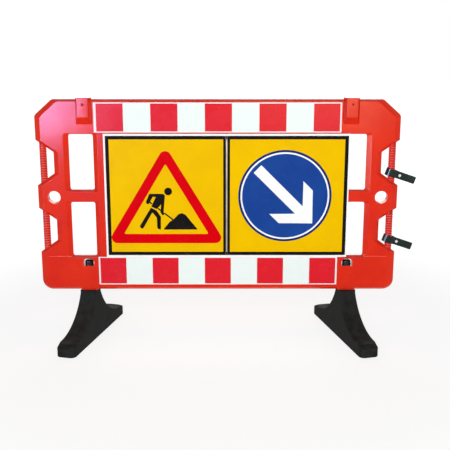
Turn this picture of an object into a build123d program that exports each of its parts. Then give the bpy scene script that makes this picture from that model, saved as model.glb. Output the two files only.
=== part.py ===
"""Road-works barrier: a moulded lattice panel on two swivelling feet, carrying
reflective boards, a pair of sign plates, lamp brackets and coupling straps.

Millimetres. The panel stands in the XZ plane with its front towards -Y, +Z is up
and the floor is Z = 0. X is measured from the middle of the panel while modelling;
on export everything moves so that X = 0 is the middle of the whole outline,
because the coupling straps reach past one end only.
"""
import math
import os

from build123d import *

# Panel moulding
PANEL_WIDTH = 1792.0
PANEL_HEIGHT = 968.0
PANEL_THICKNESS = 46.0
FLOOR_GAP = 244.0
PARTING_LAND = 5.0          # flat band each side of the parting line before the bevels start
CUT_OVERRUN = 1.0           # how far a cutter runs past the face it opens
END_BEVEL = 28.0            # bevel widths seen from the front
TOP_BEVEL = 8.0
FOOT_EDGE_BEVEL = 13.0
CORNER_BEVEL = 24.0
CORNER_CUT_X = 88.0         # sloping top corners
CORNER_CUT_Z = 78.0
CORNER_CUT_RADIUS = 24.0
BOTTOM_CORNER_RADIUS = 54.0
FACE_CORNER_RADIUS = 22.0   # corner radius left on the flat faces inside the bevels

# Lattice windows in two rows
TOP_RAIL = 171.0
MID_RAIL = 64.0
BOTTOM_RAIL = 179.0
END_PANEL = 162.0
WINDOW_COLUMNS = 8
LATTICE_BAR = 72.0
WINDOW_RADIUS = 10.0
WINDOW_SIDE_BEVEL = 23.0
WINDOW_TOP_BEVEL = 7.0

# Hand-holds in the panel ends, with ribbed grip bars across them
HAND_HOLD_MOUTH = 227.0
HAND_HOLD_BACK = 106.0
HAND_HOLD_DEPTH = 86.0
HAND_HOLD_RADIUS = 9.0
HAND_HOLD_BEVEL = 26.0
SHOULDER_BEVEL = 15.0
MID_LOBE = 116.0
GRIP_BAR_DIAMETER = 34.0
GRIP_BAR_SETBACK = 17.0
GRIP_RIB_HEIGHT = 1.6
GRIP_RIB_PITCH = 17.0
GRIP_SOCKET_DEPTH = 30.0
GRIP_FIT = 0.1              # radial gap of a grip bar in its socket

# Round lifting holes and the faint step above the lower rail
LIFT_HOLE_DIAMETER = 63.0
LIFT_HOLE_INSET = 82.0
STEP_LINE_WIDTH = 2.5
STEP_LINE_DEPTH = 1.0
STEP_LINE_LENGTH = 122.0

# Reflective boards, bonded into shallow recesses of the two rails
BOARD_END_MARGIN = 292.0
BOARD_HEIGHT = 146.0
BOARD_THICKNESS = 3.0
BOARD_RECESS = 2.0
BOARD_FIT = 1.0
TOP_BOARD_DROP = 14.0       # from the panel's top edge to the top board
BOTTOM_BOARD_LIFT = 30.0    # from the panel's lower edge to the bottom board

# Sign plates side by side, with studs welded to their backs
SIGN_PLATE_WIDTH = 604.0
SIGN_PLATE_THICKNESS = 3.0
SIGN_OFFSET_X = 44.0
SIGN_GAP_ABOVE = 6.0
SIGN_GAP_BELOW = 0.5
JOINT_WEB = 2.0
JOINT_FLANGE_WIDTH = 8.0
JOINT_FLANGE_THICKNESS = 1.2
STUD_DIAMETER = 6.0
STUD_CLEARANCE = 0.5
STUD_TAIL = 3.0
STUD_EDGE_DISTANCE = 80.0
STUD_SIDE_MARGIN = 30.0     # least distance from a stud to the side of its plate
WASHER_DIAMETER = 16.0
WASHER_THICKNESS = 1.6
NUT_ACROSS_FLATS = 10.0
NUT_HEIGHT = 5.0
NUT_SIDES = 6
THREAD_FIT = 0.05

# Lamp brackets on the top rail
BRACKET_INSET = 246.0       # from the panel's ends to the brackets
BRACKET_RISE = 11.0
BRACKET_BASE_WIDTH = 80.0
BRACKET_BASE_HEIGHT = 132.0
BRACKET_FACE_WIDTH = 55.0
BRACKET_FACE_HEIGHT = 95.0
BRACKET_DEPTH = 38.0
LAMP_SLOT_WIDTH = 40.0
LAMP_SLOT_GAP = 9.0
LAMP_SLOT_DEPTH = 72.0
LAMP_SLOT_FRONT_WALL = 12.0
LAMP_HOLE_DIAMETER = 10.0
LAMP_HOLE_DROP = 31.0
SCREW_DIAMETER = 6.0
SCREW_CLEARANCE = 0.2
SCREW_HEAD_DIAMETER = 12.0
SCREW_HEAD_HEIGHT = 4.0
SCREW_HEAD_CHAMFER = 1.8
SCREW_BITE = 12.0
SCREW_SPACING = 30.0
SCREW_DROP = 80.0

# Swivelling feet and their pivot posts
PIVOT_INSET = 241.0         # from the panel's ends to the pivots
FOOT_LENGTH = 672.0
FOOT_WIDTH = 97.0
FOOT_SPLAY = 14.3
TOE_HEIGHT = 42.0
TOE_RADIUS = 26.0
TOE_RUN = 35.0
INSTEP_HEIGHT = 57.0
INSTEP_SAG = 47.0
NECK_LENGTH = 84.0
NECK_WIDTH = 82.0
NECK_LAND = 14.0
NECK_RADIUS = 12.0
INSTEP_SLICES = 6
POST_DIAMETER = 30.0
POST_ROOT = 80.0
POST_RUNNING_FIT = 0.05
POST_HEAD_DIAMETER = 46.0
POST_HEAD_HEIGHT = 34.0
POST_HEAD_RADIUS = 13.0
POST_SPLIT = 4.0
POST_SPLIT_DEPTH = 58.0
SWIVEL_PLAY = 0.3
PIVOT_BOSS_WIDTH = 84.0
PIVOT_BOSS_HEIGHT = 26.0
POST_WINDOW_WIDTH = 54.0
POST_WINDOW_HEIGHT = 38.0
POST_WINDOW_LIFT = 128.0
POST_WINDOW_RADIUS = 19.0

# Coupling straps looped round the right-hand grip bars
STRAP_WIDTH = 37.0
STRAP_THICKNESS = 3.0
STRAP_TILT = 19.0
STRAP_CLEARANCE = 0.5
STRAP_NECK_GAP = 7.5        # from the inside of the loop to the neck, where the two layers meet
STRAP_FLAP = 34.0           # from the neck to the end of the folded-back layer
STRAP_TAIL = 93.0           # from the neck to the tip of the tail
STRAP_STUD_SETBACK = 11.0   # from the neck to the press stud
STRAP_TIP_RADIUS = 6.0
STRAP_CREASE_RADIUS = 0.3   # inside of the loop where its two layers meet
STRAP_DROPS = {"upper": 50.5, "lower": 46.5}    # below the middle of each strap's hand-hold
STRAP_RIBS = 4              # grip ribs across the tail
STRAP_RIB_PITCH = 9.0
STRAP_RIB_WIDTH = 3.0
STRAP_RIB_HEIGHT = 0.8
STRAP_RIB_MARGIN = 9.0      # from the tip of the tail to the last rib
STRAP_STUD_DIAMETER = 14.0
STRAP_STUD_DOME = 3.0
STRAP_STUD_SHANK = 5.0
STRAP_SOCKET_DIAMETER = 12.0
STRAP_SOCKET_HEIGHT = 3.0
STRAP_SOCKET_CHAMFER = 0.75

# Places that follow from the sizes above
half_width = PANEL_WIDTH / 2
half_thickness = PANEL_THICKNESS / 2
panel_bottom = FLOOR_GAP
panel_top = FLOOR_GAP + PANEL_HEIGHT
panel_middle = FLOOR_GAP + PANEL_HEIGHT / 2
window_width = (PANEL_WIDTH - 2 * END_PANEL - (WINDOW_COLUMNS - 1) * LATTICE_BAR) / WINDOW_COLUMNS
window_height = (PANEL_HEIGHT - TOP_RAIL - MID_RAIL - BOTTOM_RAIL) / 2
window_pitch = window_width + LATTICE_BAR
lower_window_z = panel_bottom + BOTTOM_RAIL + window_height / 2
upper_window_z = panel_top - TOP_RAIL - window_height / 2
grip_radius = GRIP_BAR_DIAMETER / 2
grip_rib_radius = grip_radius + GRIP_RIB_HEIGHT
grip_x = half_width - GRIP_BAR_SETBACK - grip_radius
pivot_x = half_width - PIVOT_INSET
board_length = PANEL_WIDTH - 2 * BOARD_END_MARGIN
top_board_z = panel_top - TOP_BOARD_DROP - BOARD_HEIGHT / 2
bottom_board_z = panel_bottom + BOTTOM_BOARD_LIFT + BOARD_HEIGHT / 2
sign_bottom = bottom_board_z + BOARD_HEIGHT / 2 + SIGN_GAP_BELOW
sign_top = top_board_z - BOARD_HEIGHT / 2 - SIGN_GAP_ABOVE
sign_middle = (sign_bottom + sign_top) / 2
sign_height = sign_top - sign_bottom
stud_rows = (sign_bottom + STUD_EDGE_DISTANCE, sign_top - STUD_EDGE_DISTANCE)
bracket_top = panel_top + BRACKET_RISE
bracket_x = half_width - BRACKET_INSET
screw_z = bracket_top - SCREW_DROP
post_ledge = panel_bottom + POST_WINDOW_LIFT
neck_top = FLOOR_GAP - SWIVEL_PLAY
strap_slope = math.radians(STRAP_TILT)
strap_bore = grip_rib_radius + STRAP_CLEARANCE
strap_drift = STRAP_WIDTH / 2 * math.tan(strap_slope) + strap_bore * (1 / math.cos(strap_slope) - 1)
strap_neck = strap_bore + strap_drift + STRAP_NECK_GAP
strap_stud_x = strap_neck + STRAP_STUD_SETBACK

FRONT = Plane.XZ            # local axes +X and +Z, normal towards the front
ALONG_Y = Rotation(90, 0, 0)
STANDING = (Align.CENTER, Align.CENTER, Align.MIN)
HANGING = (Align.CENTER, Align.CENTER, Align.MAX)
FRONT_OF = (Align.CENTER, Align.MAX, Align.CENTER)


def moved_edges(points, shifts):
    """Corners of an anticlockwise polygon after each edge moves outward by its own shift."""
    lines = []
    for (x1, z1), (x2, z2), shift in zip(points, points[1:] + points[:1], shifts):
        length = math.hypot(x2 - x1, z2 - z1)
        normal_x = (z2 - z1) / length
        normal_z = (x1 - x2) / length
        lines.append((normal_x, normal_z, normal_x * x1 + normal_z * z1 + shift))
    corners = []
    for (a, b, c), (d, e, f) in zip(lines[-1:] + lines[:-1], lines):
        scale = a * e - b * d
        corners.append(((c * e - b * f) / scale, (a * f - c * d) / scale))
    return corners


def rounded(points, radii):
    """A flat face with the given corners, each rounded by its own radius."""
    return make_face(FilletPolyline(*points, radius=radii, close=True))


def bevelled_slab(points, mid_radii, shifts, face_radii, depth):
    """A slab about the parting plane whose outline moves by the shifts towards both faces."""
    reach = (depth - PARTING_LAND) / (half_thickness - PARTING_LAND)
    mid_face = rounded(points, mid_radii)
    face_points = moved_edges(points, [shift * reach for shift in shifts])
    outer_face = rounded(face_points, face_radii)
    front = loft([FRONT.offset(PARTING_LAND) * mid_face, FRONT.offset(depth) * outer_face], ruled=True)
    land = extrude(FRONT * mid_face, PARTING_LAND, both=True)
    return land + front + mirror(front, FRONT)


def cross_hole(diameter, x, z):
    """A cylinder along Y that passes right through the panel."""
    return Pos(x, 0, z) * ALONG_Y * Cylinder(diameter / 2, PANEL_THICKNESS + 2 * CUT_OVERRUN)


def window_centres():
    """Centres of all lattice windows, row by row."""
    centres = []
    for z in (lower_window_z, upper_window_z):
        for column in range(WINDOW_COLUMNS):
            centres.append(((column - (WINDOW_COLUMNS - 1) / 2) * window_pitch, z))
    return centres


def window_cutter():
    """One lattice window, flared towards both faces."""
    half_w = window_width / 2
    half_h = window_height / 2
    corners = [(-half_w, -half_h), (half_w, -half_h), (half_w, half_h), (-half_w, half_h)]
    shifts = [WINDOW_TOP_BEVEL, WINDOW_SIDE_BEVEL, WINDOW_TOP_BEVEL, WINDOW_SIDE_BEVEL]
    radii = [WINDOW_RADIUS] * len(corners)
    return bevelled_slab(corners, radii, shifts, radii, half_thickness + CUT_OVERRUN)


def hand_hold_cutter():
    """The notch for one hand-hold in the right-hand end, about its own middle height."""
    inner_x = half_width - HAND_HOLD_DEPTH
    slope = (HAND_HOLD_MOUTH - HAND_HOLD_BACK) / 2 / HAND_HOLD_DEPTH
    outer_x = half_width + END_PANEL
    outer_half = HAND_HOLD_BACK / 2 + slope * (outer_x - inner_x)
    inner_half = HAND_HOLD_BACK / 2
    corners = [(inner_x, -inner_half), (outer_x, -outer_half), (outer_x, outer_half), (inner_x, inner_half)]
    shifts = [SHOULDER_BEVEL, 0, SHOULDER_BEVEL, HAND_HOLD_BEVEL]
    radii = [HAND_HOLD_RADIUS] * len(corners)
    return bevelled_slab(corners, radii, shifts, radii, half_thickness + CUT_OVERRUN)


def hand_hold_heights():
    """Middle heights of the lower and the upper hand-holds."""
    offset = (MID_LOBE + HAND_HOLD_MOUTH) / 2
    return {"lower": panel_middle - offset, "upper": panel_middle + offset}


def grip_bar_ends(middle_z):
    """Bottom and top of a grip bar, seated in its sockets."""
    slope = (HAND_HOLD_MOUTH - HAND_HOLD_BACK) / 2 / HAND_HOLD_DEPTH
    clear_half = HAND_HOLD_BACK / 2 + slope * (grip_x - half_width + HAND_HOLD_DEPTH)
    return middle_z - clear_half - GRIP_SOCKET_DEPTH, middle_z + clear_half + GRIP_SOCKET_DEPTH


def sign_plate_middle(side):
    """X of the middle of one sign plate."""
    return SIGN_OFFSET_X + side * (JOINT_WEB + SIGN_PLATE_WIDTH) / 2


def stud_places(side):
    """X and Z of the studs of one sign plate, on the outermost lattice bars behind it."""
    reach = SIGN_PLATE_WIDTH / 2 - STUD_SIDE_MARGIN
    bars = [(bar - WINDOW_COLUMNS / 2) * window_pitch for bar in range(1, WINDOW_COLUMNS)]
    covered = [x for x in bars if abs(x - sign_plate_middle(side)) <= reach]
    return [(x, z) for x in sorted({covered[0], covered[-1]}) for z in stud_rows]


def screw_places():
    """X and Z of the screws that hold the two lamp brackets."""
    return [(side * bracket_x + offset, screw_z)
            for side in (-1, 1) for offset in (-SCREW_SPACING / 2, SCREW_SPACING / 2)]


def panel_blank():
    """The bevelled outline of the moulding with its sloping top corners."""
    corners = [
        (-half_width, panel_bottom),
        (half_width, panel_bottom),
        (half_width, panel_top - CORNER_CUT_Z),
        (half_width - CORNER_CUT_X, panel_top),
        (-half_width + CORNER_CUT_X, panel_top),
        (-half_width, panel_top - CORNER_CUT_Z),
    ]
    shifts = [-FOOT_EDGE_BEVEL, -END_BEVEL, -CORNER_BEVEL, -TOP_BEVEL, -CORNER_BEVEL, -END_BEVEL]
    mid_radii = [BOTTOM_CORNER_RADIUS] * 2 + [CORNER_CUT_RADIUS] * len(corners[2:])
    face_radii = [FACE_CORNER_RADIUS] * len(corners)
    return bevelled_slab(corners, mid_radii, shifts, face_radii, half_thickness)


def post_window():
    """Arched window through the lower rail that shows the head of a pivot post."""
    outline = FRONT * RectangleRounded(POST_WINDOW_WIDTH, 2 * POST_WINDOW_HEIGHT, POST_WINDOW_RADIUS)
    arch = extrude(outline, PANEL_THICKNESS, both=True)
    return split(arch, Plane.XY)


def frame_moulding():
    """The one-piece panel with all its windows, sockets, recesses and fixing holes."""
    frame = panel_blank()
    boss = Box(PIVOT_BOSS_WIDTH, PANEL_THICKNESS, PIVOT_BOSS_HEIGHT, align=STANDING)
    frame += [Pos(side * pivot_x, 0, panel_bottom) * boss for side in (-1, 1)]

    window = window_cutter()
    cuts = [Pos(x, 0, z) * window for x, z in window_centres()]
    notch = hand_hold_cutter()
    mirrored_notch = mirror(notch, Plane.YZ)
    for z in hand_hold_heights().values():
        cuts += [Pos(0, 0, z) * notch, Pos(0, 0, z) * mirrored_notch]
    frame -= cuts

    holes = []
    post_hole = Cylinder(POST_DIAMETER / 2 + POST_RUNNING_FIT, POST_WINDOW_LIFT + POST_WINDOW_HEIGHT / 2,
                         align=STANDING)
    arch = post_window()
    step_line = Box(STEP_LINE_LENGTH, 2 * STEP_LINE_DEPTH, STEP_LINE_WIDTH)
    step_x = half_width - END_PANEL + STEP_LINE_LENGTH / 2
    for side in (-1, 1):
        holes.append(Pos(side * pivot_x, 0, panel_bottom) * post_hole)
        holes.append(Pos(side * pivot_x, 0, post_ledge) * arch)
        holes.append(cross_hole(LIFT_HOLE_DIAMETER, side * (half_width - LIFT_HOLE_INSET), panel_middle))
        holes.append(Pos(side * step_x, -half_thickness, panel_bottom + BOTTOM_RAIL) * step_line)
        holes += [cross_hole(STUD_DIAMETER + 2 * STUD_CLEARANCE, x, z) for x, z in stud_places(side)]
        for middle_z in hand_hold_heights().values():
            low, high = grip_bar_ends(middle_z)
            socket = Cylinder(grip_radius + GRIP_FIT, high - low)
            holes.append(Pos(side * grip_x, 0, middle_z) * socket)
    recess = Box(board_length + 2 * BOARD_FIT, 2 * BOARD_RECESS, BOARD_HEIGHT + 2 * BOARD_FIT)
    for z in (top_board_z, bottom_board_z):
        holes.append(Pos(0, -half_thickness, z) * recess)
    holes += [cross_hole(SCREW_DIAMETER + 2 * SCREW_CLEARANCE, x, z) for x, z in screw_places()]
    return frame - holes


def grip_bar(middle_z):
    """A round bar with shallow ribs over its clear length, standing on the bar axis."""
    low, high = grip_bar_ends(middle_z)
    clear_low = low + GRIP_SOCKET_DEPTH + SHOULDER_BEVEL
    clear_high = high - GRIP_SOCKET_DEPTH - SHOULDER_BEVEL
    ribs = int((clear_high - clear_low) / GRIP_RIB_PITCH)
    first = (clear_low + clear_high - ribs * GRIP_RIB_PITCH) / 2
    profile = [(0, low), (grip_radius, low)]
    for rib in range(ribs):
        start = first + rib * GRIP_RIB_PITCH
        profile.append((grip_radius, start))
        profile.append((grip_rib_radius, start + GRIP_RIB_PITCH / 2))
    profile += [(grip_radius, first + ribs * GRIP_RIB_PITCH), (grip_radius, high), (0, high)]
    face = make_face(FRONT * Polyline(*profile, close=True))
    return revolve(face, Axis.Z)


def reflective_board(z):
    """A flat board in its recess, standing slightly proud of the rail."""
    back = -half_thickness + BOARD_RECESS
    board = Box(board_length, BOARD_THICKNESS, BOARD_HEIGHT, align=FRONT_OF)
    return Pos(0, back, z) * board


def sign_plate(side):
    """One sign plate on the front of the lattice, with its studs through the bars."""
    plate = Box(SIGN_PLATE_WIDTH, SIGN_PLATE_THICKNESS, sign_height, align=FRONT_OF)
    plate = Pos(sign_plate_middle(side), -half_thickness, sign_middle) * plate
    length = PANEL_THICKNESS + WASHER_THICKNESS + NUT_HEIGHT + STUD_TAIL
    stud = ALONG_Y * Cylinder(STUD_DIAMETER / 2, length, align=HANGING)
    return plate + [Pos(x, -half_thickness, z) * stud for x, z in stud_places(side)]


def sign_joint_strip():
    """T-section strip that covers the joint between the two plates."""
    web = Box(JOINT_WEB, SIGN_PLATE_THICKNESS, sign_height, align=FRONT_OF)
    flange = Box(JOINT_FLANGE_WIDTH, JOINT_FLANGE_THICKNESS, sign_height, align=FRONT_OF)
    strip = web + Pos(0, -SIGN_PLATE_THICKNESS, 0) * flange
    return Pos(SIGN_OFFSET_X, -half_thickness, sign_middle) * strip


def sign_washer():
    """A washer lying against the back of a lattice bar."""
    ring = Circle(WASHER_DIAMETER / 2) - Circle(STUD_DIAMETER / 2 + STUD_CLEARANCE)
    return extrude(FRONT.offset(-half_thickness) * ring, -WASHER_THICKNESS)


def sign_nut():
    """A hexagon nut on its washer."""
    hexagon = RegularPolygon(NUT_ACROSS_FLATS / 2, NUT_SIDES, major_radius=False)
    ring = hexagon - Circle(STUD_DIAMETER / 2 + THREAD_FIT)
    return extrude(FRONT.offset(-half_thickness - WASHER_THICKNESS) * ring, -NUT_HEIGHT)


def lamp_bracket(side):
    """A tapered block on the top rail with a slot for a lamp's tongue and a hole for its bolt."""
    base_z = bracket_top - BRACKET_BASE_HEIGHT / 2
    face_z = bracket_top - BRACKET_FACE_HEIGHT / 2
    base = Pos(0, base_z) * Rectangle(BRACKET_BASE_WIDTH, BRACKET_BASE_HEIGHT)
    face = Pos(0, face_z) * Rectangle(BRACKET_FACE_WIDTH, BRACKET_FACE_HEIGHT)
    rail_plane = FRONT.offset(half_thickness)
    block = loft([rail_plane * base, rail_plane.offset(BRACKET_DEPTH) * face], ruled=True)
    face_y = -half_thickness - BRACKET_DEPTH
    slot = Box(LAMP_SLOT_WIDTH, LAMP_SLOT_GAP, LAMP_SLOT_DEPTH, align=(Align.CENTER, Align.MIN, Align.MAX))
    block -= Pos(0, face_y + LAMP_SLOT_FRONT_WALL, bracket_top) * slot
    hole = Cylinder(LAMP_HOLE_DIAMETER / 2, LAMP_SLOT_FRONT_WALL + LAMP_SLOT_GAP / 2, align=HANGING)
    block -= Pos(0, face_y, bracket_top - LAMP_HOLE_DROP) * ALONG_Y * hole
    bite = Cylinder(SCREW_DIAMETER / 2 + THREAD_FIT, SCREW_BITE, align=STANDING)
    for offset in (-SCREW_SPACING / 2, SCREW_SPACING / 2):
        block -= Pos(offset, -half_thickness, screw_z) * ALONG_Y * bite
    return Pos(side * bracket_x, 0, 0) * block


def bracket_screw():
    """A cone-edged screw from the back of the rail into a lamp bracket."""
    shank = Cylinder(SCREW_DIAMETER / 2, PANEL_THICKNESS + SCREW_BITE, align=STANDING)
    head = Cylinder(SCREW_HEAD_DIAMETER / 2, SCREW_HEAD_HEIGHT, align=HANGING)
    rim = head.edges().filter_by(GeomType.CIRCLE).sort_by(Axis.Z)[0]
    head = chamfer(rim, SCREW_HEAD_CHAMFER)
    return Pos(0, half_thickness, 0) * ALONG_Y * (shank + head)


def foot_section(length, z):
    """Level slice of a foot: narrower and tighter in the corners towards the neck."""
    rise = max(0, (z - TOE_HEIGHT) / (neck_top - TOE_HEIGHT))
    width = FOOT_WIDTH + (NECK_WIDTH - FOOT_WIDTH) * rise
    radius = TOE_RADIUS + (NECK_RADIUS - TOE_RADIUS) * rise
    return Pos(0, 0, z) * RectangleRounded(width, length, radius)


def foot(side):
    """A long foot that rises in a hollow curve to the neck under the rail."""
    instep = (FOOT_LENGTH / 2 - TOE_RUN, INSTEP_HEIGHT)
    throat = (NECK_LENGTH / 2, neck_top - NECK_LAND)
    hollow = SagittaArc(instep, throat, INSTEP_SAG)
    slices = []
    for step in range(INSTEP_SLICES + 1):
        point = hollow @ (step / INSTEP_SLICES)
        slices.append(foot_section(2 * point.X, point.Y))
    sole = foot_section(FOOT_LENGTH, 0)
    toe = foot_section(FOOT_LENGTH, TOE_HEIGHT)
    crown = foot_section(NECK_LENGTH, neck_top)
    body = loft([sole, toe], ruled=True) + loft([toe, slices[0]], ruled=True)
    body += [loft(slices), loft([slices[-1], crown], ruled=True)]
    root = Cylinder(POST_DIAMETER / 2, POST_ROOT, align=HANGING)
    body -= Pos(0, 0, neck_top) * root
    return Pos(side * pivot_x, 0, 0) * Rotation(0, 0, side * FOOT_SPLAY) * body


def pivot_post(side):
    """A split post, fast in the foot, that turns in the rail and snaps over its ledge."""
    foot_end = neck_top - POST_ROOT
    head_base = post_ledge + SWIVEL_PLAY
    shank = Cylinder(POST_DIAMETER / 2, head_base - foot_end, align=STANDING)
    head = Cylinder(POST_HEAD_DIAMETER / 2, POST_HEAD_HEIGHT, align=STANDING)
    crown = head.edges().filter_by(GeomType.CIRCLE).sort_by(Axis.Z)[-1]
    head = fillet(crown, POST_HEAD_RADIUS)
    post = Pos(0, 0, foot_end) * shank + Pos(0, 0, head_base) * head
    gap = Box(POST_HEAD_DIAMETER + 2 * CUT_OVERRUN, POST_SPLIT, POST_SPLIT_DEPTH, align=HANGING)
    post -= Pos(0, 0, head_base + POST_HEAD_HEIGHT) * gap
    return Pos(side * pivot_x, 0, 0) * Rotation(0, 0, side * FOOT_SPLAY) * post


def strap_place(level):
    """Location of a strap on its bar: X along the band, Z across it."""
    height = hand_hold_heights()[level] - STRAP_DROPS[level]
    return Pos(grip_x, 0, height) * Rotation(0, STRAP_TILT, 0)


def strap_loop(bar_radius, neck_radius):
    """Section of the loop round the tilted bar, drawn to a point at the neck."""
    rounds = [Pos(x, 0) * Circle(bar_radius) for x in (-strap_drift, strap_drift)]
    rounds.append(Pos(strap_neck, 0) * Circle(neck_radius))
    return make_hull([edge for circle in rounds for edge in circle.edges()])


def coupling_strap(level):
    """A band looped round the bar, its short end folded back over the long tail."""
    inner = strap_loop(strap_bore, STRAP_CREASE_RADIUS)
    outer = strap_loop(strap_bore + STRAP_THICKNESS, STRAP_THICKNESS)
    flap = Rectangle(STRAP_FLAP, STRAP_THICKNESS, align=(Align.MIN, Align.MAX))
    tail = Rectangle(STRAP_TAIL, STRAP_THICKNESS, align=(Align.MIN, Align.MIN))
    profile = (outer - inner) + [Pos(strap_neck, 0) * layer for layer in (flap, tail)]
    band = extrude(profile, STRAP_WIDTH / 2, both=True)
    band = fillet(band.edges().filter_by(Axis.Y).group_by(Axis.X)[-1], STRAP_TIP_RADIUS)
    hole = Cylinder(STRAP_STUD_SHANK / 2, 2 * (STRAP_THICKNESS + CUT_OVERRUN))
    band -= Pos(strap_stud_x, 0, 0) * ALONG_Y * hole
    rib = Box(STRAP_RIB_WIDTH, STRAP_RIB_HEIGHT, STRAP_WIDTH, align=FRONT_OF)
    last_rib = strap_neck + STRAP_TAIL - STRAP_RIB_MARGIN
    band += [Pos(last_rib - place * STRAP_RIB_PITCH, 0, 0) * rib for place in range(STRAP_RIBS)]
    return strap_place(level) * band


def strap_stud(level):
    """The domed cap and shank of the press stud that closes the loop."""
    rim = (STRAP_STUD_DIAMETER / 2, 0)
    crown = (0, STRAP_STUD_DOME)
    outline = TangentArc(crown, rim, tangent=(1, 0)) + Polyline(rim, (0, 0), crown)
    cap = revolve(FRONT * make_face(outline), Axis.Z)
    shank = Cylinder(STRAP_STUD_SHANK / 2, 2 * STRAP_THICKNESS + STRAP_SOCKET_HEIGHT / 2, align=HANGING)
    stud = Pos(strap_stud_x, -STRAP_THICKNESS, 0) * ALONG_Y * (cap + shank)
    return strap_place(level) * stud


def strap_socket(level):
    """The back half of the press stud, bored half way for the stud's shank."""
    body = Cylinder(STRAP_SOCKET_DIAMETER / 2, STRAP_SOCKET_HEIGHT, align=HANGING)
    rim = body.edges().filter_by(GeomType.CIRCLE).sort_by(Axis.Z)[0]
    body = chamfer(rim, STRAP_SOCKET_CHAMFER)
    body -= Cylinder(STRAP_STUD_SHANK / 2, STRAP_SOCKET_HEIGHT)
    return strap_place(level) * Pos(strap_stud_x, STRAP_THICKNESS, 0) * ALONG_Y * body


nodes = {"frame_moulding": frame_moulding()}
for level, middle_z in hand_hold_heights().items():
    bar = grip_bar(middle_z)
    nodes[f"grip_bar_{level}_left"] = Pos(-grip_x, 0, 0) * bar
    nodes[f"grip_bar_{level}_right"] = Pos(grip_x, 0, 0) * bar
nodes["top_reflective_board"] = reflective_board(top_board_z)
nodes["bottom_reflective_board"] = reflective_board(bottom_board_z)
for name, side in (("left", -1), ("right", 1)):
    places = stud_places(side)
    nodes[f"{name}_sign_plate"] = sign_plate(side)
    nodes[f"{name}_sign_washers"] = Compound(children=[Pos(x, 0, z) * sign_washer() for x, z in places])
    nodes[f"{name}_sign_nuts"] = Compound(children=[Pos(x, 0, z) * sign_nut() for x, z in places])
    nodes[f"{name}_lamp_bracket"] = lamp_bracket(side)
    nodes[f"{name}_foot"] = foot(side)
    nodes[f"{name}_pivot_post"] = pivot_post(side)
nodes["sign_joint_strip"] = sign_joint_strip()
nodes["bracket_screws"] = Compound(children=[Pos(x, 0, z) * bracket_screw() for x, z in screw_places()])
for level in STRAP_DROPS:
    nodes[f"{level}_coupling_strap"] = coupling_strap(level)
    nodes[f"{level}_strap_stud"] = strap_stud(level)
    nodes[f"{level}_strap_socket"] = strap_socket(level)

# The outline reaches from the panel's left end to the tips of the straps
strap_tip = max(nodes[f"{level}_coupling_strap"].bounding_box().max.X for level in STRAP_DROPS)
outline_centre = (strap_tip - half_width) / 2
print(f"outline centre is {outline_centre:.3f} mm to the right of the panel's middle")

os.makedirs("parts", exist_ok=True)
for name, shape in nodes.items():
    placed = [Pos(-outline_centre, 0, 0) * solid for solid in shape.solids()]
    export_step(placed[0] if len(placed) == 1 else Compound(children=placed), f"parts/{name}.step")
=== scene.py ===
import math

import bmesh
import bpy
from mathutils import Matrix, Vector
from mathutils.bvhtree import BVHTree


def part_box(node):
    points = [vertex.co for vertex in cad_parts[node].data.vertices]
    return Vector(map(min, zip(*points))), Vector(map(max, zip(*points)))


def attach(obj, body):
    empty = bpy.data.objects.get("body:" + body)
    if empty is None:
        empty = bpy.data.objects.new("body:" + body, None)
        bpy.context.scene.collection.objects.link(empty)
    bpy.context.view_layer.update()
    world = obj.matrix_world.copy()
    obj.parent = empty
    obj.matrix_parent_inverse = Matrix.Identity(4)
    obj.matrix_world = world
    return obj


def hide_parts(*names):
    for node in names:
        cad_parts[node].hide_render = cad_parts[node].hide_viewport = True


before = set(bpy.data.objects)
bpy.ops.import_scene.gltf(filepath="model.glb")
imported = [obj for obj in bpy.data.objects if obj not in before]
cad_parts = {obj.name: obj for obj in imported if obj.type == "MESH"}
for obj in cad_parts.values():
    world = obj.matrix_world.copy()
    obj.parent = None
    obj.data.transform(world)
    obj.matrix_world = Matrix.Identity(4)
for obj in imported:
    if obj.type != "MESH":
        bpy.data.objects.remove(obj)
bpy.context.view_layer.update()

# Frame moulding
# The whole panel, with its rails, lattice and end lobes, is one hollow moulding of orange polyethylene.
# It comes out of the mould with a fine grain, soft edges and a satin skin that scuffs as it is stacked.
WELD_GAP = 1e-5
FLAT_ANGLE = math.radians(0.05)
HARD_ANGLE = math.radians(25)
EDGE_STEPS = 2
EDGE_PROFILE = 0.5
EDGE_ROOM = 3.0
SPARED_REACH = 2.0
FOLDED_OVER = -0.2
FRAME_EDGE_RADIUS = 0.0012
MOULD_ROUNDING = 0.003
MIX_FIRST = 6
MIX_SECOND = 7
MIX_RESULT = 2


def joined_copy(node_name):
    """Copies a CAD node and joins its faces into one skin, with no loose points inside its flats."""
    skin = bmesh.new()
    skin.from_mesh(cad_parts[node_name].data)
    bmesh.ops.remove_doubles(skin, verts=skin.verts[:], dist=WELD_GAP)
    bmesh.ops.dissolve_limit(skin, angle_limit=FLAT_ANGLE, verts=skin.verts[:], edges=skin.edges[:])
    bends = {vert: max(edge.calc_face_angle(0) for edge in vert.link_edges) for vert in skin.verts}
    bmesh.ops.dissolve_verts(skin, verts=[vert for vert, bend in bends.items() if bend < FLAT_ANGLE])
    return skin


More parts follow.
